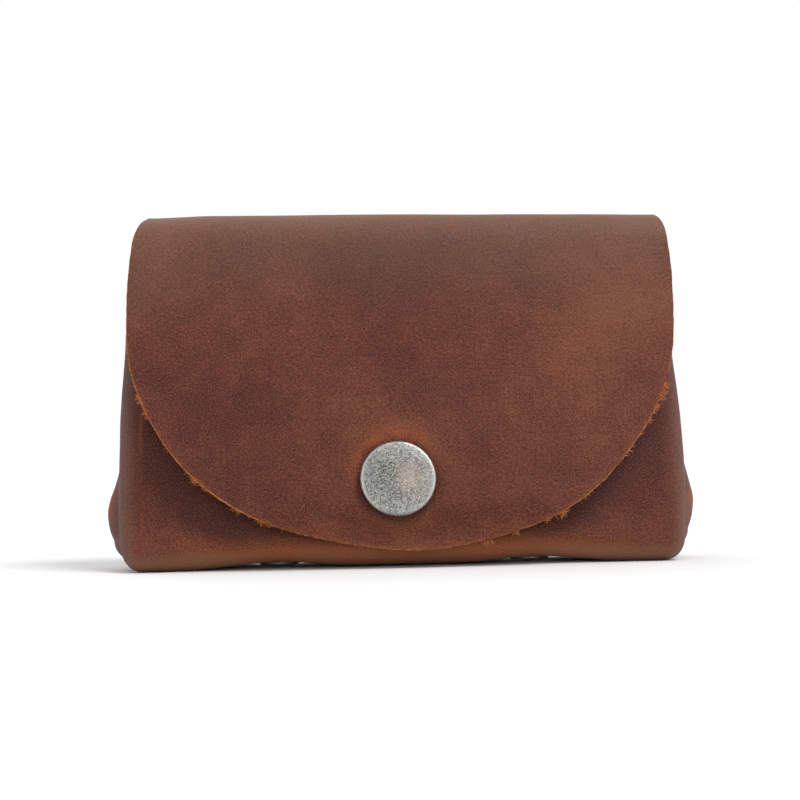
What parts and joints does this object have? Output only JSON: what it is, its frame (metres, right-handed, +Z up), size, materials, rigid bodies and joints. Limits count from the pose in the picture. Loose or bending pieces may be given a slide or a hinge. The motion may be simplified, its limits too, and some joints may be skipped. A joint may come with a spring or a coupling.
{
  "type": "coin purse",
  "caption": "Small leather coin purse folded from one strip, standing pouch with riveted corners and a half-round flap closed by a press snap.",
  "frame": {"origin": "middle of the closed purse's bounding box, on the plane it stands on", "axes": "+X along the width of the purse, -Y out of the front with the snap, +Z up"},
  "size_m": [0.1214, 0.0301, 0.0743],
  "materials": {
    "leather": "waxed pull-up grain, raw cut edges",
    "antique_nickel": "antiqued, mottled",
    "nickel": "satin",
    "spring_steel": "bright wire"
  },
  "bodies": {
    "tray": {"front_panel": "leather", "bottom_panel": "leather", "left_side_panel": "leather", "right_side_panel": "leather", "left_tab": "leather", "right_tab": "leather", "snap_stud": "nickel", "snap_post": "nickel", "left_rivet_cap": "nickel", "left_rivet_post": "nickel", "right_rivet_cap": "nickel", "right_rivet_post": "nickel"},
    "back": {"back_panel": "leather"},
    "fold": {"top_fold": "leather"},
    "flap_leaf": {"flap": "leather", "snap_cap": "antique_nickel", "snap_socket": "nickel", "socket_spring": "spring_steel"}
  },
  "joints": [
    {"name": "back_tilt", "type": "hinge", "parent": "tray", "child": "back", "pos_m": [0, 0.01407, 0.00225], "axis": [-1, 0, 0], "range_deg": [0, 45]},
    {"name": "flap_fold_rear", "type": "hinge", "parent": "back", "child": "fold", "pos_m": [0, 0.01174, 0.07102], "axis": [-1, 0, 0], "range_deg": [0, 85.6]},
    {"name": "flap_fold_front", "type": "hinge", "parent": "fold", "child": "flap_leaf", "pos_m": [0, 0.0005, 0.07102], "axis": [-1, 0, 0], "range_deg": [0, 85.6]}
  ],
  "couplings": [
    {"joint": "flap_fold_rear", "follows": "back_tilt", "ratio": 1.9},
    {"joint": "flap_fold_front", "follows": "back_tilt", "ratio": 1.9}
  ]
}
